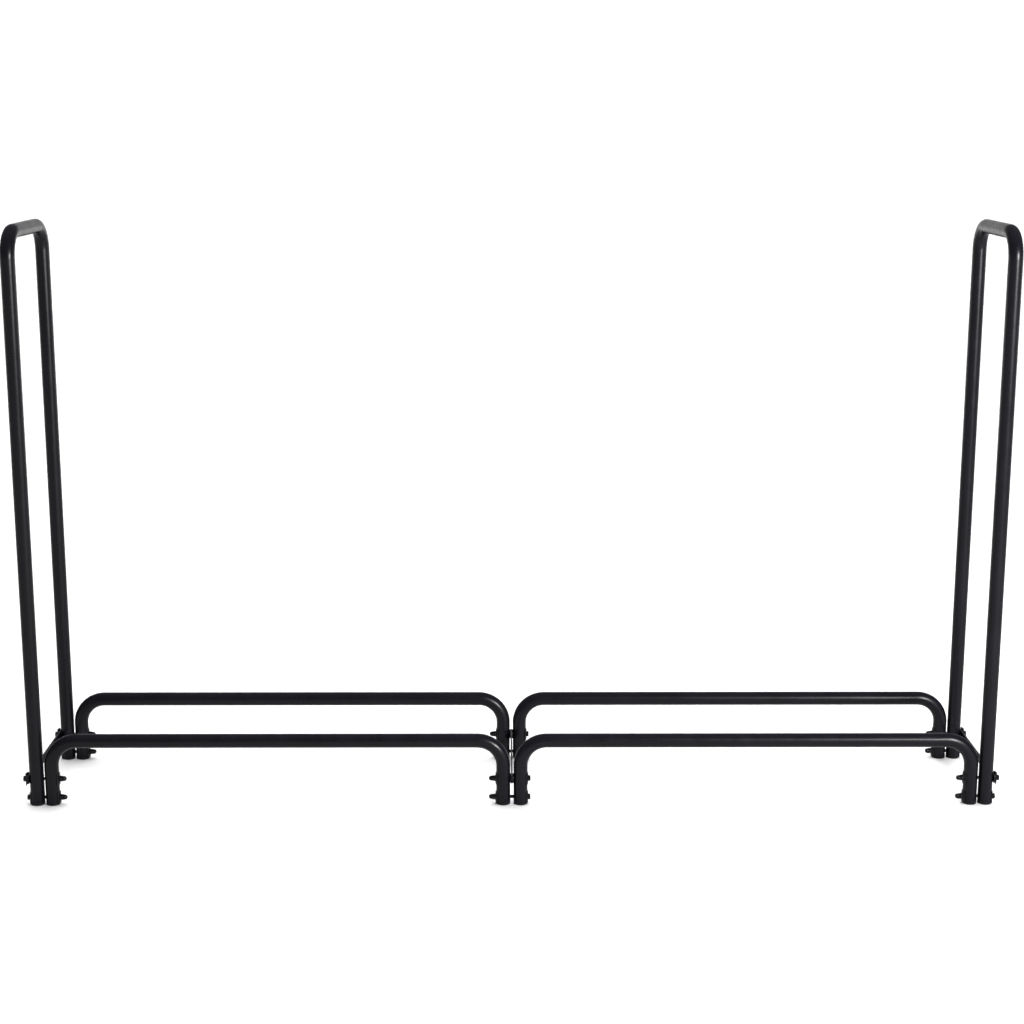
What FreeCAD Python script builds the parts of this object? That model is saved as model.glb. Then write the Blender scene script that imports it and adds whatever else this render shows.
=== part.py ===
import FreeCAD, Part
import math
import os
import Sketcher

# Firewood log rack: a free-standing rack of round steel tube that is bolted together.
# Frame: origin on the floor at the centre of the footprint, +X to the right along the
# rack, +Y to the rear, +Z up.  All sizes are in millimetres.
#
# Two inverted-U hoops stand at the ends.  Four rails, bent down at both ends into short
# legs, make a front and a rear row that meets in the middle.  At each end a rail's leg
# stands beside the hoop's leg, and in the middle two rail legs stand beside each other.
# Two bolts along X hold each of these six pairs of legs, and the upper bolts also hold
# three flat bars that cross the rack from front to rear.

document = FreeCAD.newDocument("FirewoodLogRack")
vector = FreeCAD.Vector

SIZES = (
    ("rack_length", 2400, "overall, over the end hoops"),
    ("rack_depth", 370, "overall, over the front and rear tubes"),
    ("rack_height", 1430, "floor to the top of the hoops"),
    ("rail_leg_height", 99.5, "floor to where the rails begin to bend"),
    ("tube_diameter", 35, "outer diameter of every tube"),
    ("tube_wall", 1.5, "wall of every tube"),
    ("hoop_bend_radius", 62, "to the tube's centre line"),
    ("rail_bend_radius", 65, "to the tube's centre line"),
    ("leg_clearance", 3, "between a hoop's leg and the rail's leg beside it"),
    ("lower_bolt_height", 17.5, "floor to the lower bolts"),
    ("bolt_pitch", 48.5, "lower bolts to upper bolts"),
    ("bolt_diameter", 8, "M8"),
    ("bolt_clearance", 0.25, "radial, in every hole that a bolt passes through"),
    ("thread_clearance", 0.05, "radial, between a bolt and its cap nut"),
    ("thread_engagement", 9, "length of bolt inside its cap nut"),
    ("head_across_flats", 13, "bolt head"),
    ("head_thickness", 5.3, "bolt head"),
    ("nut_across_flats", 13, "cap nut"),
    ("nut_hexagon_length", 6.5, "hexagonal part of the cap nut"),
    ("nut_length", 15, "cap nut with its dome"),
    ("nut_dome_diameter", 12.5, "dome of the cap nut"),
    ("nut_end_wall", 3, "from the end of the cap nut's bore to the dome's top"),
    ("flat_washer_diameter", 16, "washer under each cap nut"),
    ("flat_washer_thickness", 1.6, "washer under each cap nut"),
    ("saddle_height", 28, "washer that is curved to the tube"),
    ("saddle_width", 25, "chord across its outer face"),
    ("saddle_thickness", 2, "sheet that it is pressed from"),
    ("bar_height", 20, "cross bar, on edge"),
    ("bar_thickness", 4, "cross bar"),
    ("bar_overhang", 14, "cross bar beyond the bolts at each end"),
    ("bar_corner_radius", 3, "corners of the cross bar's ends"),
    ("spacer_diameter", 24, "washer on each side of the middle cross bar"),
    ("spacer_thickness", 2, "washer on each side of the middle cross bar"),
    ("foot_flange_height", 3, "part of the foot plug below the tube"),
    ("foot_edge_chamfer", 1, "lower edge of the foot plug"),
    ("foot_bolt_clearance", 1.25, "between the sleeve inside the tube and the lower bolt's hole"),
    ("foot_sleeve_wall", 2, "wall of the sleeve inside the tube"),
    ("foot_rib_projection", 0.8, "rings round the sleeve"),
    ("foot_clearance", 0.1, "radial, between the rings and the tube's bore"),
)

sheet = document.addObject("Spreadsheet::Sheet", "Sizes")
for line, (alias, size, meaning) in enumerate(SIZES, start=1):
    sheet.set(f"A{line}", meaning)
    sheet.set(f"B{line}", str(size))
    sheet.setAlias(f"B{line}", alias)
document.recompute()

# Lengths worked out from the driving sizes, as expressions.
TUBE_RADIUS = "Sizes.tube_diameter / 2"
BORE_RADIUS = f"({TUBE_RADIUS} - Sizes.tube_wall)"
BOLT_HOLE = "(Sizes.bolt_diameter + 2 * Sizes.bolt_clearance)"
UPPER_BOLT_HEIGHT = "(Sizes.lower_bolt_height + Sizes.bolt_pitch)"
FOOT_SLEEVE_TOP = f"(Sizes.lower_bolt_height - {BOLT_HOLE} / 2 - Sizes.foot_bolt_clearance)"
LEG_SPACING = "(Sizes.rack_depth - Sizes.tube_diameter)"
MIDDLE_GAP = "(Sizes.bar_thickness + 2 * Sizes.spacer_thickness)"

# Centre lines of the legs, measured along X from the middle of the rack.
HOOP_X = f"(Sizes.rack_length / 2 - {TUBE_RADIUS})"
OUTER_LEG_X = f"({HOOP_X} - Sizes.tube_diameter - Sizes.leg_clearance)"
INNER_LEG_X = f"({MIDDLE_GAP} / 2 + {TUBE_RADIUS})"

# A saddle washer has the tube's curve.  Over a flat bar it rests on its two upright
# edges, so its middle stands off the bar.
UNDER_HEAD = f"({TUBE_RADIUS} + Sizes.saddle_thickness)"
UNDER_NUT = f"({UNDER_HEAD} + Sizes.flat_washer_thickness)"
SADDLE_HALF_ANGLE = f"asin(Sizes.saddle_width / 2 / {UNDER_HEAD})"
SADDLE_STAND_OFF = f"({TUBE_RADIUS} * (1 - cos({SADDLE_HALF_ANGLE})))"
OVER_BAR = f"(Sizes.bar_thickness + {SADDLE_STAND_OFF})"

# Lengths of the bolts, from the face under the head to the end inside the cap nut.
NUT_SIDE = "Sizes.saddle_thickness + Sizes.flat_washer_thickness + Sizes.thread_engagement"
HEAD_AND_TUBES = "Sizes.saddle_thickness + 2 * Sizes.tube_diameter"
LOWER_END_BOLT = f"({HEAD_AND_TUBES} + Sizes.leg_clearance + {NUT_SIDE})"
UPPER_END_BOLT = f"({LOWER_END_BOLT} + {OVER_BAR})"
MIDDLE_BOLT = f"({HEAD_AND_TUBES} + {MIDDLE_GAP} + {NUT_SIDE})"

# The front and rear rows of legs, and the sign of X at each end.
ROWS = {"front": f"-{LEG_SPACING} / 2", "rear": f"{LEG_SPACING} / 2"}
ENDS = {"left": "-", "right": "+"}


def own_origin(body, role):
    """The body's own origin plane or axis of that role, such as XY_Plane or Z_Axis."""
    return next(feature for feature in body.Origin.OriginFeatures if feature.Role == role)


def new_body(label, x="0", y="0", z="0", turned=False):
    """A body at a bound place.  Turned, its local +X and +Y run along -X and -Y."""
    body = document.addObject("PartDesign::Body", label)
    body.Label = label
    body.AllowCompound = True
    if turned:
        body.Placement.Rotation = FreeCAD.Rotation(vector(0, 0, 1), 180)
    for axis, expression in (("x", x), ("y", y), ("z", z)):
        body.setExpression(f"Placement.Base.{axis}", expression)
    return body


def new_sketch(body, purpose, role, offset=None):
    """A sketch on one of the body's own origin planes, raised off it by offset."""
    sketch = body.newObject("Sketcher::SketchObject", f"{body.Name}_{purpose}")
    sketch.AttachmentSupport = [(own_origin(body, role), "")]
    sketch.MapMode = "FlatFace"
    if offset is not None:
        sketch.setExpression("AttachmentOffset.Base.z", offset)
    return sketch


def add_line(sketch, start, end):
    """A line, drawn roughly; constraints and dimensions place it."""
    return sketch.addGeometry(Part.LineSegment(vector(*start, 0), vector(*end, 0)), False)


def add_arc(sketch, centre, radius, first_angle, last_angle):
    """An arc, drawn roughly, anticlockwise between two angles in degrees."""
    circle = Part.Circle(vector(*centre, 0), vector(0, 0, 1), radius)
    angles = (math.radians(first_angle), math.radians(last_angle))
    return sketch.addGeometry(Part.ArcOfCircle(circle, *angles), False)


def constrain(sketch, *constraints):
    """Constraints without a size, each given as its kind and what it applies to."""
    for constraint in constraints:
        sketch.addConstraint(Sketcher.Constraint(*constraint))


def drawn_size(sketch, kind, where):
    """The size that a dimension has in the sketch as drawn."""
    if kind == "Radius":
        return sketch.Geometry[where[0]].Radius
    if kind == "Diameter":
        return 2 * sketch.Geometry[where[0]].Radius
    run = sketch.getPoint(*where[2:]) - sketch.getPoint(*where[:2])
    return run.x if kind == "DistanceX" else run.y


def dimension(sketch, kind, *where, to):
    """A dimension of the sketch, bound to an expression."""
    size = drawn_size(sketch, kind, where)
    index = sketch.addConstraint(Sketcher.Constraint(kind, *where, size))
    sketch.setExpression(f"Constraints[{index}]", to)


def add_circle(sketch, diameter, across="0", up="0"):
    """A circle of a bound diameter at a bound place."""
    circle = sketch.addGeometry(Part.Circle(vector(0, 0, 0), vector(0, 0, 1), 5), False)
    dimension(sketch, "DistanceX", -1, 1, circle, 3, to=across)
    dimension(sketch, "DistanceY", -1, 1, circle, 3, to=up)
    dimension(sketch, "Diameter", circle, to=diameter)


def add_outline(sketch, corners):
    """A closed outline of straight lines; its corners are pairs of expressions."""
    count = len(corners)
    turns = [2 * math.pi * corner / count for corner in range(count)]
    rough = [(20 * math.cos(turn), 20 * math.sin(turn)) for turn in turns]
    lines = [add_line(sketch, rough[i], rough[(i + 1) % count]) for i in range(count)]
    for i, (across, up) in enumerate(corners):
        constrain(sketch, ("Coincident", lines[i - 1], 2, lines[i], 1))
        dimension(sketch, "DistanceX", -1, 1, lines[i], 1, to=across)
        dimension(sketch, "DistanceY", -1, 1, lines[i], 1, to=up)


def add_pad(body, sketch, length, side_type="One side", reverse=False):
    """A pad of the sketch."""
    pad = body.newObject("PartDesign::Pad", f"{sketch.Name}_pad")
    pad.Profile = sketch
    pad.setExpression("Length", length)
    pad.SideType = side_type
    pad.Reversed = reverse
    return pad


def add_cut(body, sketch):
    """A cut through everything, both ways from the sketch's plane."""
    document.recompute()
    volume_before = body.Shape.Volume
    cut = body.newObject("PartDesign::Pocket", f"{sketch.Name}_cut")
    cut.Profile = sketch
    cut.Type = "ThroughAll"
    cut.SideType = "Symmetric"
    document.recompute()
    if not body.Shape.Volume < volume_before:
        raise RuntimeError(f"{cut.Name} cuts nothing")
    return cut


def add_turned(body, sketch, kind, axis_role):
    """A Revolution or a Groove of the sketch, all the way round one of the body's axes."""
    document.recompute()
    turned = body.newObject(f"PartDesign::{kind}", f"{sketch.Name}_{kind.lower()}")
    turned.Profile = sketch
    turned.ReferenceAxis = (own_origin(body, axis_role), [""])
    turned.Angle = 360
    return turned


def add_repeat(body, features, axis_role, length, count=2):
    """The features repeated along one of the body's axes, the last ones at that length."""
    document.recompute()
    repeat = body.newObject("PartDesign::LinearPattern", f"{body.Name}_repeat")
    repeat.Originals = features
    repeat.Direction = (own_origin(body, axis_role), [""])
    repeat.setExpression("Length", length)
    repeat.Occurrences = count
    body.Tip = repeat


def add_bent_tube(body, role, span, top_height, bend_radius):
    """A tube up one leg, round two bends and down the other leg, on an upright plane."""
    path = new_sketch(body, "path", role)
    left_leg = add_line(path, (-100, 0), (-100, 80))
    left_bend = add_arc(path, (-80, 80), 20, 90, 180)
    top = add_line(path, (-80, 100), (80, 100))
    right_bend = add_arc(path, (80, 80), 20, 0, 90)
    right_leg = add_line(path, (100, 80), (100, 0))
    constrain(
        path,
        ("Tangent", left_leg, 2, left_bend, 2),
        ("Tangent", left_bend, 1, top, 1),
        ("Tangent", top, 2, right_bend, 2),
        ("Tangent", right_bend, 1, right_leg, 1),
        ("Vertical", left_leg),
        ("Vertical", right_leg),
        ("Horizontal", top),
        ("Equal", left_bend, right_bend),
        ("Symmetric", left_leg, 1, right_leg, 2, -2),
    )
    dimension(path, "DistanceX", left_leg, 1, right_leg, 2, to=span)
    dimension(path, "DistanceY", -1, 1, top, 1, to=top_height)
    dimension(path, "DistanceY", -1, 1, left_leg, 1, to="Sizes.foot_flange_height")
    dimension(path, "Radius", left_bend, to=bend_radius)

    section = new_sketch(body, "section", "XY_Plane", offset="Sizes.foot_flange_height")
    start = f"-{span} / 2"
    place = (start, "0") if role == "XZ_Plane" else ("0", start)
    add_circle(section, "Sizes.tube_diameter", *place)
    add_circle(section, f"2 * {BORE_RADIUS}", *place)
    document.recompute()
    pipe = body.newObject("PartDesign::AdditivePipe", f"{body.Name}_pipe")
    pipe.Profile = section
    pipe.Spine = (path, [f"Edge{piece}" for piece in range(1, 6)])


def add_leg_holes(body, columns):
    """Bolt holes along X through both walls of the legs, at both bolt heights."""
    holes = new_sketch(body, "bolt_holes", "YZ_Plane")
    for column in columns:
        for height in ("Sizes.lower_bolt_height", UPPER_BOLT_HEIGHT):
            add_circle(holes, BOLT_HOLE, column, height)
    add_cut(body, holes)


def add_cross_bar(body):
    """A flat bar on edge along Y, with rounded corners and a bolt hole near each end."""
    side = new_sketch(body, "side", "YZ_Plane")
    half_length = f"({LEG_SPACING} / 2 + Sizes.bar_overhang)"
    add_outline(
        side,
        [
            (f"-{half_length}", "-Sizes.bar_height / 2"),
            (half_length, "-Sizes.bar_height / 2"),
            (half_length, "Sizes.bar_height / 2"),
            (f"-{half_length}", "Sizes.bar_height / 2"),
        ],
    )
    blank = add_pad(body, side, "Sizes.bar_thickness", side_type="Symmetric")
    document.recompute()
    corner_edges = [
        f"Edge{number}"
        for number, edge in enumerate(blank.Shape.Edges, start=1)
        if abs(edge.tangentAt(edge.FirstParameter).x) > 0.99
    ]
    corners = body.newObject("PartDesign::Fillet", f"{body.Name}_corners")
    corners.Base = (blank, corner_edges)
    corners.setExpression("Radius", "Sizes.bar_corner_radius")
    holes = new_sketch(body, "bolt_holes", "YZ_Plane")
    for row_y in ROWS.values():
        add_circle(holes, BOLT_HOLE, row_y)
    add_cut(body, holes)


def add_foot_plug(body):
    """A plastic plug: a flange under the tube's end and a ribbed sleeve inside the tube."""
    flange_top = "Sizes.foot_flange_height"
    sleeve_outside = f"{BORE_RADIUS} - Sizes.foot_clearance - Sizes.foot_rib_projection"
    sleeve_inside = f"{sleeve_outside} - Sizes.foot_sleeve_wall"
    profile = new_sketch(body, "profile", "XZ_Plane")
    add_outline(
        profile,
        [
            ("0", "0"),
            (f"{TUBE_RADIUS} - Sizes.foot_edge_chamfer", "0"),
            (TUBE_RADIUS, "Sizes.foot_edge_chamfer"),
            (TUBE_RADIUS, flange_top),
            (sleeve_outside, flange_top),
            (sleeve_outside, FOOT_SLEEVE_TOP),
            (sleeve_inside, FOOT_SLEEVE_TOP),
            (sleeve_inside, flange_top),
            ("0", flange_top),
        ],
    )
    add_turned(body, profile, "Revolution", "Z_Axis")

    # Three rings, each wide below and tapered above, hold the sleeve in the tube.
    ring_height = f"({FOOT_SLEEVE_TOP} - {flange_top}) / 4"
    ring_foot = f"{flange_top} + {ring_height} / 2"
    ring_inside = f"{sleeve_outside} - Sizes.foot_sleeve_wall / 2"
    ring = new_sketch(body, "ring", "XZ_Plane")
    add_outline(
        ring,
        [
            (ring_inside, ring_foot),
            (f"{sleeve_outside} + Sizes.foot_rib_projection", ring_foot),
            (sleeve_outside, f"{ring_foot} + {ring_height}"),
            (ring_inside, f"{ring_foot} + {ring_height}"),
        ],
    )
    lowest_ring = add_turned(body, ring, "Revolution", "Z_Axis")
    add_repeat(body, [lowest_ring], "Z_Axis", f"2 * {ring_height}", count=3)


def add_hexagon(sketch, across_flats):
    """A regular hexagon round the sketch's origin, with two flats upright."""
    corner_radius = f"{across_flats} / 2 / cos(30)"
    angles = range(0, 360, 60)
    add_outline(
        sketch, [(f"{corner_radius} * sin({a})", f"{corner_radius} * cos({a})") for a in angles]
    )


def chamfer_hexagon(body, purpose, across_flats, face, inward):
    """Trims the corners of a hexagon along X to a cone of 30 degrees, at the face at that X."""
    flat = f"{across_flats} / 2"
    clear_of_corners = f"{across_flats} * 0.7"
    outward = "-" if inward == "+" else "+"
    cone_end = f"{face} {inward} ({clear_of_corners} - {flat}) * tan(30)"
    beyond = f"{face} {outward} 1"
    trim = new_sketch(body, purpose, "XZ_Plane")
    add_outline(
        trim, [(face, flat), (cone_end, clear_of_corners), (beyond, clear_of_corners), (beyond, flat)]
    )
    return add_turned(body, trim, "Groove", "X_Axis")


def add_bolt(body, length):
    """A hexagon bolt along +X; the face under its head is on the body's YZ plane."""
    across_flats = "Sizes.head_across_flats"
    head = new_sketch(body, "head", "YZ_Plane")
    add_hexagon(head, across_flats)
    head_pad = add_pad(body, head, "Sizes.head_thickness", reverse=True)
    chamfer = chamfer_hexagon(body, "head_chamfer", across_flats, "-Sizes.head_thickness", "+")
    shank = new_sketch(body, "shank", "YZ_Plane")
    add_circle(shank, "Sizes.bolt_diameter")
    return [head_pad, chamfer, add_pad(body, shank, length)]


def add_cap_nut(body):
    """A cap nut along +X; its flat base is on the body's YZ plane."""
    across_flats = "Sizes.nut_across_flats"
    hexagon_end = "Sizes.nut_hexagon_length"
    base = new_sketch(body, "base", "YZ_Plane")
    add_hexagon(base, across_flats)
    features = [
        add_pad(body, base, hexagon_end),
        chamfer_hexagon(body, "base_chamfer", across_flats, "0", "+"),
        chamfer_hexagon(body, "dome_chamfer", across_flats, hexagon_end, "-"),
    ]

    # The dome is a short cylinder with a hemisphere on its end.
    dome_radius = "Sizes.nut_dome_diameter / 2"
    dome_centre = f"(Sizes.nut_length - {dome_radius})"
    dome = new_sketch(body, "dome", "XZ_Plane")
    middle = add_line(dome, (5, 0), (15, 0))
    round_end = add_arc(dome, (9, 0), 6, 0, 90)
    side = add_line(dome, (9, 6), (5, 6))
    back = add_line(dome, (5, 6), (5, 0))
    constrain(
        dome,
        ("Coincident", middle, 2, round_end, 1),
        ("Coincident", round_end, 2, side, 1),
        ("Coincident", side, 2, back, 1),
        ("Coincident", back, 2, middle, 1),
        ("PointOnObject", round_end, 3, -1),
        ("PointOnObject", middle, 1, -1),
        ("Horizontal", middle),
        ("Horizontal", side),
        ("Vertical", back),
    )
    dimension(dome, "DistanceX", -1, 1, middle, 1, to=f"{hexagon_end} / 2")
    dimension(dome, "DistanceX", -1, 1, round_end, 3, to=dome_centre)
    dimension(dome, "DistanceX", -1, 1, side, 1, to=dome_centre)
    dimension(dome, "Radius", round_end, to=dome_radius)
    features.append(add_turned(body, dome, "Revolution", "X_Axis"))

    bore_radius = "Sizes.bolt_diameter / 2 + Sizes.thread_clearance"
    bore_end = "Sizes.nut_length - Sizes.nut_end_wall"
    bore = new_sketch(body, "bore", "XZ_Plane")
    add_outline(bore, [("0", "0"), (bore_end, "0"), (bore_end, bore_radius), ("0", bore_radius)])
    features.append(add_turned(body, bore, "Groove", "X_Axis"))
    return features


def add_flat_ring(body, diameter, thickness):
    """A flat washer on the body's YZ plane, thickened along +X."""
    ring = new_sketch(body, "ring", "YZ_Plane")
    add_circle(ring, diameter)
    add_circle(ring, BOLT_HOLE)
    return [add_pad(body, ring, thickness)]


def add_flat_washer(body):
    """The washer under a cap nut."""
    return add_flat_ring(body, "Sizes.flat_washer_diameter", "Sizes.flat_washer_thickness")


def add_spacer_washer(body):
    """The washer between a rail's leg and the middle cross bar."""
    return add_flat_ring(body, "Sizes.spacer_diameter", "Sizes.spacer_thickness")


def add_saddle_washer(body):
    """A plate bent round an upright tube on the body's Z axis, on the tube's +X side."""
    outline = new_sketch(body, "outline", "XY_Plane")
    inner_arc = add_arc(outline, (0, 0), 10, -45, 45)
    outer_arc = add_arc(outline, (0, 0), 20, -45, 45)
    ends = [add_line(outline, (7, 7 * side), (14, 14 * side)) for side in (-1, 1)]
    constrain(outline, *(("Coincident", arc, 3, -1, 1) for arc in (inner_arc, outer_arc)))
    for arc_end, line in enumerate(ends, start=1):
        constrain(
            outline,
            ("Coincident", line, 1, inner_arc, arc_end),
            ("Coincident", line, 2, outer_arc, arc_end),
            ("PointOnObject", -1, 1, line),
        )
    constrain(outline, ("Symmetric", outer_arc, 1, outer_arc, 2, -1))
    dimension(outline, "Radius", inner_arc, to=TUBE_RADIUS)
    dimension(outline, "Radius", outer_arc, to=UNDER_HEAD)
    dimension(outline, "DistanceY", outer_arc, 1, outer_arc, 2, to="Sizes.saddle_width")
    plate = add_pad(body, outline, "Sizes.saddle_height", side_type="Symmetric")
    hole = new_sketch(body, "hole", "YZ_Plane")
    add_circle(hole, BOLT_HOLE)
    return [plate, add_cut(body, hole)]


def add_end_hoops():
    """The two inverted-U hoops."""
    for end, sign in ENDS.items():
        hoop = new_body(f"{end}_upright_hoop", x=f"{sign}{HOOP_X}")
        top_height = f"(Sizes.rack_height - {TUBE_RADIUS})"
        add_bent_tube(hoop, "YZ_Plane", LEG_SPACING, top_height, "Sizes.hoop_bend_radius")
        add_leg_holes(hoop, ROWS.values())


def add_rails():
    """The four rails, each with a leg at both ends."""
    span = f"({OUTER_LEG_X} - {INNER_LEG_X})"
    top_height = "(Sizes.rail_leg_height + Sizes.rail_bend_radius)"
    for row, row_y in ROWS.items():
        for end, sign in ENDS.items():
            rail = new_body(
                f"{row}_{end}_rail", x=f"{sign}({OUTER_LEG_X} + {INNER_LEG_X}) / 2", y=row_y
            )
            add_bent_tube(rail, "XZ_Plane", span, top_height, "Sizes.rail_bend_radius")
            add_leg_holes(rail, ["0"])


def add_cross_bars():
    """The three cross bars: outside the hoops' legs, and between the rails' middle legs."""
    outside = f"({HOOP_X} + {TUBE_RADIUS} + Sizes.bar_thickness / 2)"
    for place, x in (("left", f"-{outside}"), ("middle", "0"), ("right", outside)):
        add_cross_bar(new_body(f"{place}_cross_bar", x=x, z=UPPER_BOLT_HEIGHT))


def add_foot_plugs():
    """One foot plug in each of the twelve legs."""
    legs = {"hoop": HOOP_X, "rail_outer": OUTER_LEG_X, "rail_inner": INNER_LEG_X}
    for row, row_y in ROWS.items():
        for end, sign in ENDS.items():
            for leg, leg_x in legs.items():
                label = f"{row}_{end}_{leg}_foot_plug"
                add_foot_plug(new_body(label, x=f"{sign}{leg_x}", y=row_y))


def add_end_bolts():
    """Bolts at the two ends, heads outside, each front and rear pair in one node.

    The upper ones hold a cross bar too, so they are longer than the lower ones.
    """
    levels = (
        ("lower", "Sizes.lower_bolt_height", HOOP_X, LOWER_END_BOLT),
        ("upper", UPPER_BOLT_HEIGHT, f"({HOOP_X} + {OVER_BAR})", UPPER_END_BOLT),
    )
    for end, sign in ENDS.items():
        on_the_left = end == "left"
        for level, height, saddle_x, length in levels:
            bolts = new_body(
                f"{end}_{level}_bolts",
                x=f"{sign}({saddle_x} + {UNDER_HEAD})",
                y=ROWS["front"] if on_the_left else ROWS["rear"],
                z=height,
                turned=not on_the_left,
            )
            add_repeat(bolts, add_bolt(bolts, length), "Y_Axis", LEG_SPACING)
            saddles = new_body(
                f"{end}_{level}_head_saddle_washers",
                x=f"{sign}{saddle_x}",
                y=ROWS["rear"] if on_the_left else ROWS["front"],
                z=height,
                turned=on_the_left,
            )
            add_repeat(saddles, add_saddle_washer(saddles), "Y_Axis", LEG_SPACING)


def add_upright_pair(label, x, row_y, turned, add_one, *sizes):
    """One node with a fastener at the lower bolt and the same one at the upper bolt."""
    pair = new_body(label, x=x, y=row_y, z="Sizes.lower_bolt_height", turned=turned)
    add_repeat(pair, add_one(pair, *sizes), "Z_Axis", "Sizes.bolt_pitch")


def add_middle_bolts():
    """Bolts where the rails meet, heads on the right, and the spacers on the upper ones."""
    for row, row_y in ROWS.items():
        add_upright_pair(
            f"{row}_middle_bolts", f"{INNER_LEG_X} + {UNDER_HEAD}", row_y, True, add_bolt, MIDDLE_BOLT
        )
        add_upright_pair(
            f"{row}_middle_head_saddle_washers", INNER_LEG_X, row_y, False, add_saddle_washer
        )
        spacers = new_body(
            f"{row}_middle_spacer_washers", x=f"-{MIDDLE_GAP} / 2", y=row_y, z=UPPER_BOLT_HEIGHT
        )
        spacer_step = "Sizes.bar_thickness + Sizes.spacer_thickness"
        add_repeat(spacers, add_spacer_washer(spacers), "X_Axis", spacer_step)


def add_nuts_and_washers():
    """Saddle washers, flat washers and cap nuts: on the inner side at the ends, and on the
    left where the rails meet."""
    places = (
        ("left", f"-{OUTER_LEG_X}", "+", False),
        ("middle", f"-{INNER_LEG_X}", "-", True),
        ("right", OUTER_LEG_X, "-", True),
    )
    for row, row_y in ROWS.items():
        for place, leg_x, side, turned in places:
            stack = (
                ("nut_saddle_washers", leg_x, add_saddle_washer),
                ("flat_washers", f"{leg_x} {side} {UNDER_HEAD}", add_flat_washer),
                ("cap_nuts", f"{leg_x} {side} {UNDER_NUT}", add_cap_nut),
            )
            for name, x, add_one in stack:
                add_upright_pair(f"{row}_{place}_{name}", x, row_y, turned, add_one)


def check_and_export():
    """Stops at any failed object or shape, then writes each body's shape to its own file."""
    document.recompute()
    for item in document.Objects:
        if {"Invalid", "Error"} & set(item.State):
            raise RuntimeError(f"{item.Label} is {item.State}")
    bodies = [item for item in document.Objects if item.TypeId == "PartDesign::Body"]
    for body in bodies:
        if body.Shape.isNull() or not body.Shape.isValid():
            raise RuntimeError(f"{body.Label} has no valid shape")
    os.makedirs("parts", exist_ok=True)
    for body in bodies:
        body.Shape.exportStep(f"parts/{body.Label}.step")
        print(f"{body.Label}: {len(body.Shape.Solids)} solid(s), {body.Shape.Volume:.1f} mm3")


add_end_hoops()
add_rails()
add_cross_bars()
add_foot_plugs()
add_end_bolts()
add_middle_bolts()
add_nuts_and_washers()
check_and_export()
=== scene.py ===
import math

import bmesh
import bpy
from mathutils import Matrix, Vector


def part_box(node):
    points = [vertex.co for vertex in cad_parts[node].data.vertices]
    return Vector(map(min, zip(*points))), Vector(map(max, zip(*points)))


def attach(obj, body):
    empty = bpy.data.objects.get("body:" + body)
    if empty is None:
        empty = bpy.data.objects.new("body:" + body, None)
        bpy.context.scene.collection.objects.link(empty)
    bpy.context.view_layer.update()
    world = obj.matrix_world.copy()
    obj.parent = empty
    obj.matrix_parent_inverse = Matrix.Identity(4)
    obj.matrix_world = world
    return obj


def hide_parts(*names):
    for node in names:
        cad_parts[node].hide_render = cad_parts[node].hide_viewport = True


# Firewood log rack: the looks.  Metres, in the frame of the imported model: the floor is Z 0,
# +X runs right along the rack and +Y runs to the rear.

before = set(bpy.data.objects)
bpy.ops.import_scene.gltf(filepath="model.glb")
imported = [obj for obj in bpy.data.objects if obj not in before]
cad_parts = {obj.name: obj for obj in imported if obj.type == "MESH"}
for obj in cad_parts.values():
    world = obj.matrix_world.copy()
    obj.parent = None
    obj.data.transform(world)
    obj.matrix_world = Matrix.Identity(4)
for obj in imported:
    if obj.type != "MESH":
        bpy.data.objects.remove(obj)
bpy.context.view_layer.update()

MM = 0.001
UP = Vector((0, 0, 1))
ALONG = Vector((1, 0, 0))
ACROSS = Vector((0, 1, 0))

# Sizes of the tubes and their bolt holes, as in the CAD model.
TUBE_RADIUS = 17.5 * MM
BORE_RADIUS = 16 * MM
HOOP_BEND = 62 * MM
RAIL_BEND = 65 * MM
HOLE_RADIUS = 4.25 * MM

# How far the tubes' outer and inner end edges are drawn in, and at the ring halfway round.
END_ROUND = 0.35 * MM
BORE_END_ROUND = 0.6 * END_ROUND
HALFWAY = 0.3

# How finely the tubes are divided: segments round a tube, rings in a bend, the longest step
# along a straight, and the rings on each side of a bolt hole.
AROUND = 96
BEND_STEPS = 40
STRAIGHT_STEP = 45 * MM
WINDOW = 6

# Angles between faces above which an edge is sharp, and above which it is softened.
SHARP_ANGLE = math.radians(40)
SOFTEN_ANGLE = math.radians(25)
WELD_DISTANCE = 0.001 * MM

# Radius of the softened edges of the pieces in each material.
EDGE_ROUND = {"powder_coated_steel": 0.4 * MM, "black_hardware": 0.2 * MM, "foot_plastic": 0.25 * MM}

LEVELS = ("lower", "upper")
ROWS = ("front", "rear")
ENDS = ("left", "right")

FLOOR_HALF_SIZE = 60

# The camera: its place, its turns in radians, and its lens on a sensor 36 mm wide.
CAMERA_PLACE = (-0.0241, -4.5091, 1.6865)
CAMERA_YAW = -0.0055
CAMERA_DOWN = 0.2136
CAMERA_ROLL = 0.0007
CAMERA_SENSOR = 36
CAMERA_LENS = 36 * 1839.67 / 1024


# ---------------------------------------------------------------- places in the CAD model

def middle(node):
    """The middle of a CAD node's box."""
    low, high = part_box(node)
    return (low + high) / 2


BOLT_HEIGHTS = [middle(f"left_{level}_bolts").z for level in LEVELS]
LEG_Y = middle("rear_middle_bolts").y
FOOT_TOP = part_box("left_upright_hoop")[0].z


# ------------------------------------------------------------------------------ tubes

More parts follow.
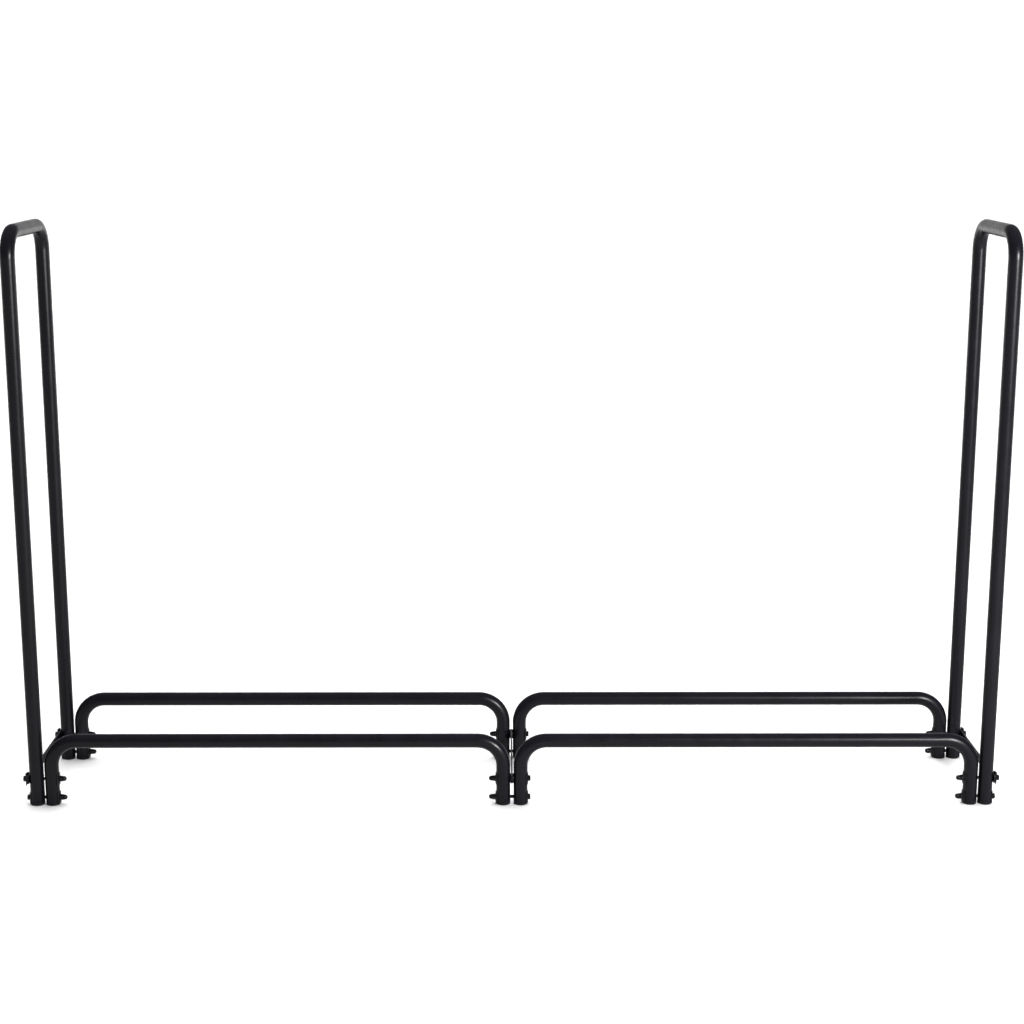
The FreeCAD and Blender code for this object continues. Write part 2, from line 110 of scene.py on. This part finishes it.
def leg_heights(foot, bend_start):
    """Heights of the rings up a leg, and where each bolt hole's window of rings begins."""
    pitch = 2 * math.pi * TUBE_RADIUS / AROUND
    heights = [foot, foot + END_ROUND * HALFWAY, foot + END_ROUND]
    windows = []
    for hole in BOLT_HEIGHTS:
        windows.append(len(heights))
        heights += [hole + step * pitch for step in range(-WINDOW, WINDOW + 1)]
    last = heights[-1]
    count = max(1, round((bend_start - last) / STRAIGHT_STEP))
    heights += [last + (bend_start - last) * i / count for i in range(1, count + 1)]
    return heights, windows


def tube_path(run, half_span, foot, top, bend):
    """Rings of an inverted-U centre line: place, the inward normal and the way along."""
    heights, windows = leg_heights(foot, top - bend)
    rising = [(-run * half_span + UP * z, run, UP) for z in heights]
    bend_centre = run * (bend - half_span) + UP * (top - bend)
    for step in range(1, BEND_STEPS + 1):
        turn = math.pi - step / BEND_STEPS * math.pi / 2
        outward = run * math.cos(turn) + UP * math.sin(turn)
        way = run * math.sin(turn) - UP * math.cos(turn)
        rising.append((bend_centre + outward * bend, -outward, way))
    half_top = half_span - bend
    count = max(1, round(half_top / STRAIGHT_STEP))
    for i in range(1, count + 1):
        rising.append((UP * top - run * (half_top * (1 - i / count)), -UP, run))

    def mirrored(v):
        return v - run * (2 * v.dot(run))

    falling = [
        (mirrored(place), mirrored(inward), -mirrored(way)) for place, inward, way in rising[-2::-1]
    ]
    rings = rising + falling
    mirrored_windows = [len(rings) - 1 - first - 2 * WINDOW for first in windows]
    return rings, windows + mirrored_windows


def window_edge():
    """Steps (ring, segment) round a bolt hole's window, from its middle, in order."""
    side = range(-WINDOW, WINDOW)
    return (
        [(step, WINDOW) for step in side]
        + [(WINDOW, -step) for step in side]
        + [(-step, -WINDOW) for step in side]
        + [(-WINDOW, step) for step in side]
    )


class BentTube:
    """The mesh of a bent tube with a bore, rounded ends and bolt holes along X in its legs."""

    def __init__(self, centre, run, half_span, top, bend):
        self.centre = centre
        self.rings, self.windows = tube_path(run, half_span, FOOT_TOP, top, bend)
        self.last_ring = len(self.rings) - 1
        self.hole_axis_is_inward = abs(run.x) > 0.5
        self.vertices, self.wear, self.faces = [], [], []
        outer_loops = self.add_wall(TUBE_RADIUS, True)
        inner_loops = self.add_wall(BORE_RADIUS, False)
        for outer, inner in zip(outer_loops, inner_loops):
            self.add_band(outer, inner)

    def axes(self, ring):
        """The two axes that a ring's angle is measured from; bolt holes lie on the first."""
        place, inward, way = self.rings[ring]
        if self.hole_axis_is_inward:
            return inward, way.cross(inward)
        return inward.cross(way), inward

    def radius_at(self, ring, radius):
        """A wall's radius at a ring, drawn in where the tube's end is rounded."""
        share = {0: 1, 1: HALFWAY}.get(min(ring, self.last_ring - ring), 0)
        if radius > BORE_RADIUS:
            return radius - share * END_ROUND
        return radius + share * BORE_END_ROUND

    def add_band(self, first, second):
        """Faces between two closed loops of as many vertices."""
        for i in range(len(first)):
            j = (i + 1) % len(first)
            self.faces.append([first[i], first[j], second[j], second[i]])

    def add_wall(self, radius, outward):
        """One wall with its bolt holes cut; gives the loops at its holes and its ends."""
        start_vertex = len(self.vertices)
        for ring, (place, inward, way) in enumerate(self.rings):
            a, b = self.axes(ring)
            r = self.radius_at(ring, radius)
            near_end = min(ring, self.last_ring - ring) < 3
            for segment in range(AROUND):
                angle = 2 * math.pi * segment / AROUND
                on_ring = a * (r * math.cos(angle)) + b * (r * math.sin(angle))
                self.vertices.append(self.centre + place + on_ring)
                self.wear.append(1.0 if near_end else 0.0)

        def at(ring, segment):
            return start_vertex + ring * AROUND + segment % AROUND

        cut = {
            (start + i, (side + j) % AROUND)
            for start in self.windows
            for side in (0, AROUND // 2)
            for i in range(2 * WINDOW)
            for j in range(-WINDOW, WINDOW)
        }
        for ring in range(self.last_ring):
            for segment in range(AROUND):
                if (ring, segment) not in cut:
                    near = [at(ring, segment), at(ring, segment + 1)]
                    face = near + [at(ring + 1, segment + 1), at(ring + 1, segment)]
                    self.faces.append(face if outward else face[::-1])

        loops = []
        for start in self.windows:
            for side in (0, AROUND // 2):
                edge = [at(start + WINDOW + i, side + j) for i, j in window_edge()]
                rim = self.add_rim(start + WINDOW, edge, radius, side == 0)
                self.add_band(edge, rim)
                loops.append(rim)
        return loops + [[at(ring, segment) for segment in range(AROUND)] for ring in (0, self.last_ring)]

    def add_rim(self, ring, edge, radius, on_near_side):
        """The round rim of a bolt hole, a vertex for each one on the window's edge."""
        place, inward, way = self.rings[ring]
        a, b = self.axes(ring)
        hole = self.centre + place
        rim = []
        for vertex in edge:
            offset = self.vertices[vertex] - hole
            turn = math.atan2(offset.dot(way), offset.dot(b))
            across = HOLE_RADIUS * math.cos(turn)
            along = HOLE_RADIUS * math.sin(turn)
            depth = math.sqrt(radius ** 2 - across ** 2) * (1 if on_near_side else -1)
            rim.append(len(self.vertices))
            self.vertices.append(hole + a * depth + b * across + way * along)
            self.wear.append(1.0)
        return rim

    def add_to_scene(self, name):
        """The tube as an object, with its faces turned outward and its coat's wear."""
        mesh = bpy.data.meshes.new(name)
        mesh.from_pydata([tuple(v) for v in self.vertices], [], self.faces)
        mesh.update()
        shape = bmesh.new()
        shape.from_mesh(mesh)
        bmesh.ops.recalc_face_normals(shape, faces=shape.faces)
        shape.to_mesh(mesh)
        shape.free()
        attribute = mesh.attributes.new("coat_wear", "FLOAT", "POINT")
        attribute.data.foreach_set("value", self.wear)
        mesh.shade_smooth()
        mesh.set_sharp_from_angle(angle=SHARP_ANGLE)
        tube = bpy.data.objects.new(name, mesh)
        bpy.context.scene.collection.objects.link(tube)
        return tube


def add_piece(name, node, tube, paint):
    """Puts a tube in place of its CAD node."""
    piece = tube.add_to_scene(name)
    piece.data.materials.append(paint)
    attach(piece, "root")
    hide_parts(node)


def add_tubes(paint):
    """The two hoops and the four rails."""
    for end in ENDS:
        node = f"{end}_upright_hoop"
        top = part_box(node)[1].z - TUBE_RADIUS
        hoop = BentTube(ALONG * middle(node).x, ACROSS, LEG_Y, top, HOOP_BEND)
        add_piece(f"{end}_hoop_tube", node, hoop, paint)
    for row in ROWS:
        for end in ENDS:
            node = f"{row}_{end}_rail"
            inner = middle(f"{node}_inner_foot_plug")
            outer = middle(f"{node}_outer_foot_plug")
            centre = Vector(((inner.x + outer.x) / 2, inner.y, 0))
            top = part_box(node)[1].z - TUBE_RADIUS
            rail = BentTube(centre, ALONG, abs(inner.x - outer.x) / 2, top, RAIL_BEND)
            add_piece(f"{node}_tube", node, rail, paint)


# -------------------------------------------------------------------------- materials

class Nodes:
    """Short calls for building the nodes of a material or of the world."""

    def __init__(self, tree):
        self.tree = tree

    def add(self, kind, **settings):
        node = self.tree.nodes.new(kind)
        for key, value in settings.items():
            setattr(node, key, value)
        return node

    def link(self, source, target):
        self.tree.links.new(source, target)

    def spread(self, source, low, high, to_low, to_high, interpolation="LINEAR"):
        """Maps low..high to to_low..to_high, held at the ends."""
        node = self.add("ShaderNodeMapRange", interpolation_type=interpolation)
        for name, value in (
            ("From Min", low), ("From Max", high), ("To Min", to_low), ("To Max", to_high)
        ):
            node.inputs[name].default_value = value
        self.link(source, node.inputs["Value"])
        return node.outputs["Result"]

    def calculate(self, operation, first, second):
        """A sum or a product of two values; a sum is held between 0 and 1."""
        node = self.add("ShaderNodeMath", operation=operation, use_clamp=operation == "ADD")
        self.link(first, node.inputs[0])
        self.link(second, node.inputs[1])
        return node.outputs[0]

    def axis(self, source, name):
        """One axis of a place or direction."""
        node = self.add("ShaderNodeSeparateXYZ")
        self.link(source, node.inputs[0])
        return node.outputs[name]

    def background(self, strength):
        """White light of an even or a linked strength."""
        node = self.add("ShaderNodeBackground")
        node.inputs["Color"].default_value = (1, 1, 1, 1)
        if isinstance(strength, (int, float)):
            node.inputs["Strength"].default_value = strength
        else:
            self.link(strength, node.inputs["Strength"])
        return node.outputs[0]


class Material(Nodes):
    """A new material, with calls for its textures."""

    def __init__(self, name):
        self.material = bpy.data.materials.new(name)
        self.material.use_nodes = True
        super().__init__(self.material.node_tree)
        self.shader = self.tree.nodes["Principled BSDF"]
        self.place = self.add("ShaderNodeTexCoord").outputs["Object"]

    def noise(self, size, detail=2.0, roughness=0.5):
        """Noise whose features are about that size, in metres."""
        node = self.add("ShaderNodeTexNoise")
        node.inputs["Scale"].default_value = 1 / size
        node.inputs["Detail"].default_value = detail
        node.inputs["Roughness"].default_value = roughness
        self.link(self.place, node.inputs["Vector"])
        return node.outputs["Fac"]

    def mix(self, factor, first, second):
        """A colour between two colours."""
        node = self.add("ShaderNodeMix", data_type="RGBA")
        self.link(factor, node.inputs["Factor"])
        for name, colour in (("A", first), ("B", second)):
            socket = next(s for s in node.inputs if s.name == name and s.type == "RGBA")
            if isinstance(colour, tuple):
                socket.default_value = (*colour, 1)
            else:
                self.link(colour, socket)
        return next(s for s in node.outputs if s.type == "RGBA")

    def bump(self, height, depth, strength, under=None):
        """A bump of that depth, in metres, over another bump."""
        node = self.add("ShaderNodeBump")
        node.inputs["Strength"].default_value = strength
        node.inputs["Distance"].default_value = depth
        self.link(height, node.inputs["Height"])
        if under is not None:
            self.link(under, node.inputs["Normal"])
        return node.outputs["Normal"]

    def finish(self, **sockets):
        """Sets the shader's inputs, each to a number or from a linked output."""
        for name, value in sockets.items():
            socket = self.shader.inputs[name.replace("_", " ")]
            if isinstance(value, (int, float)):
                socket.default_value = value
            else:
                self.link(value, socket)
        return self.material


def powder_coat():
    """Satin black powder coat: orange peel, a fine grain, and a thinner coat at edges."""
    m = Material("powder_coat_satin_black")
    cloud = m.noise(0.09, detail=3)
    grain = m.noise(0.9 * MM, detail=2)
    edge = m.add("ShaderNodeAttribute", attribute_name="coat_wear").outputs["Fac"]
    body = m.mix(m.spread(cloud, 0.35, 0.65, 0, 1), (0.0038, 0.0036, 0.0062), (0.0056, 0.0053, 0.0088))
    speck = m.mix(m.spread(grain, 0.62, 0.75, 0, 0.5), body, (0.011, 0.011, 0.013))
    thin = m.mix(m.spread(edge, 0, 1, 0, 0.35), speck, (0.016, 0.016, 0.017))
    satin = m.spread(m.noise(0.035, detail=4), 0.3, 0.7, 0.26, 0.34)
    fine = m.spread(grain, 0.3, 0.7, -0.03, 0.03)
    peel = m.bump(m.noise(3.5 * MM, detail=1), 0.09 * MM, 0.8)
    return m.finish(
        Base_Color=thin,
        Roughness=m.calculate("ADD", satin, fine),
        Normal=m.bump(grain, 0.03 * MM, 0.8, under=peel),
        Specular_IOR_Level=0.3,
    )


def black_zinc():
    """Black zinc plate on bolts, nuts and washers: metallic, semi-gloss, lightly mottled, with a painted
    highlight on convex edges.
    """
    m = Material("black_zinc_plate")
    mottle = m.noise(6 * MM, detail=4, roughness=0.6)
    body = m.mix(m.spread(mottle, 0.35, 0.65, 0, 1), (0.024, 0.024, 0.026), (0.046, 0.046, 0.050))
    # Painted highlight: convex edges, found by pointiness, are given a lighter colour.
    edge = m.spread(m.add("ShaderNodeNewGeometry").outputs["Pointiness"], 0.52, 0.60, 0, 0.6)
    return m.finish(
        Base_Color=m.mix(edge, body, (0.09, 0.09, 0.095)),
        Roughness=m.spread(m.noise(2 * MM, detail=3), 0.3, 0.7, 0.30, 0.44),
        Normal=m.bump(m.noise(0.6 * MM), 0.01 * MM, 0.5),
        Metallic=1,
    )


def moulded_plastic():
    """Black polyethylene of the foot plugs: matte with a fine moulded grain."""
    m = Material("moulded_black_plastic")
    grain = m.noise(0.5 * MM, detail=2)
    scuff = m.noise(8 * MM, detail=5, roughness=0.65)
    return m.finish(
        Base_Color=m.mix(m.spread(scuff, 0.55, 0.75, 0, 0.6), (0.010, 0.010, 0.0105), (0.028, 0.028, 0.028)),
        Roughness=m.spread(scuff, 0.3, 0.7, 0.5, 0.66),
        Normal=m.bump(grain, 0.02 * MM, 0.6),
        Specular_IOR_Level=0.35,
    )


def paint_cad_nodes(paints):
    """Gives each CAD node that stays the material of its slot, and softens its edges."""
    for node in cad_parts.values():
        if node.hide_render:
            continue
        slot = node.data.materials[0].name.split(".")[0]
        node.data.materials[0] = paints[slot]
        weld = node.modifiers.new("weld", "WELD")
        weld.merge_threshold = WELD_DISTANCE
        soften = node.modifiers.new("soften", "BEVEL")
        soften.width = EDGE_ROUND[slot]
        soften.segments = 2
        soften.limit_method = "ANGLE"
        soften.angle_limit = SOFTEN_ANGLE
        soften.use_clamp_overlap = True
        soften.harden_normals = True


# ---------------------------------------------------------------- floor, light and camera

def add_floor():
    """A wide floor: white to the camera, and grey in front of the rack in reflections."""
    size = FLOOR_HALF_SIZE
    mesh = bpy.data.meshes.new("floor")
    corners = [(-size, -size, 0), (size, -size, 0), (size, size, 0), (-size, size, 0)]
    mesh.from_pydata(corners, [], [(0, 1, 2, 3)])
    floor = bpy.data.objects.new("floor", mesh)
    bpy.context.scene.collection.objects.link(floor)
    m = Material("pale_floor")
    pale = m.mix(m.noise(0.4, detail=3), (0.86, 0.86, 0.86), (0.88, 0.88, 0.88))
    behind = m.spread(m.axis(m.place, "Y"), 2.5, 5, 0, 1)
    mirrored = m.mix(behind, (0.34, 0.34, 0.34), (0.9, 0.9, 0.9))
    seen = m.add("ShaderNodeLightPath").outputs["Is Camera Ray"]
    shade = m.mix(seen, mirrored, pale)
    mesh.materials.append(m.finish(Base_Color=shade, Roughness=0.9, Specular_IOR_Level=0))


def add_studio():
    """White to the camera; in reflections a dim room with a low white backdrop behind."""
    world = bpy.data.worlds.new("studio")
    bpy.context.scene.world = world
    world.use_nodes = True
    world.node_tree.nodes.clear()
    n = Nodes(world.node_tree)
    direction = n.add("ShaderNodeTexCoord").outputs["Generated"]
    straight_behind = n.spread(n.axis(direction, "Y"), 0.90, 0.955, 0, 1, "SMOOTHSTEP")
    low_down = n.spread(n.axis(direction, "Z"), 0.24, 0.34, 1, 0, "SMOOTHSTEP")
    backdrop = n.calculate("MULTIPLY", straight_behind, low_down)
    room = n.background(n.spread(backdrop, 0, 1, 0.18, 1))
    white = n.background(1.05)
    mix = n.add("ShaderNodeMixShader")
    n.link(n.add("ShaderNodeLightPath").outputs["Is Camera Ray"], mix.inputs[0])
    n.link(room, mix.inputs[1])
    n.link(white, mix.inputs[2])
    n.link(mix.outputs[0], n.add("ShaderNodeOutputWorld").inputs["Surface"])


def add_lamp(name, kind, energy):
    """A lamp of that kind and energy, still to be placed."""
    data = bpy.data.lights.new(name, kind)
    data.energy = energy
    lamp = bpy.data.objects.new(name, data)
    bpy.context.scene.collection.objects.link(lamp)
    return lamp


def add_lamps():
    """Soft light from overhead, and a softbox to the right that the tubes mirror."""
    overhead = add_lamp("soft_overhead", "SUN", 4.2)
    overhead.data.angle = math.radians(70)
    overhead.rotation_euler = (math.radians(-20), 0, 0)
    overhead.visible_glossy = False

    softbox = add_lamp("softbox", "AREA", 180)
    softbox.data.shape = "RECTANGLE"
    softbox.data.size = 1.0
    softbox.data.size_y = 0.8
    softbox.location = (2.5, -3.1, 1.78)
    towards = Vector((0, 0, 0.9)) - softbox.location
    softbox.rotation_euler = towards.to_track_quat("-Z", "Y").to_euler()


def add_camera():
    """The camera, in front of the rack and a little above the hoops."""
    data = bpy.data.cameras.new("camera")
    data.sensor_width = CAMERA_SENSOR
    data.lens = CAMERA_LENS
    data.clip_start = 0.1
    data.clip_end = 200
    camera = bpy.data.objects.new("camera", data)
    bpy.context.scene.collection.objects.link(camera)
    camera.matrix_world = (
        Matrix.Translation(CAMERA_PLACE)
        @ Matrix.Rotation(CAMERA_YAW, 4, "Z")
        @ Matrix.Rotation(math.pi / 2 - CAMERA_DOWN, 4, "X")
        @ Matrix.Rotation(CAMERA_ROLL, 4, "Z")
    )
    bpy.context.scene.camera = camera


paints = {
    "powder_coated_steel": powder_coat(),
    "black_hardware": black_zinc(),
    "foot_plastic": moulded_plastic(),
}
add_tubes(paints["powder_coated_steel"])
paint_cad_nodes(paints)
add_floor()
add_studio()
add_lamps()
add_camera()
bpy.context.scene.view_settings.view_transform = "Standard"
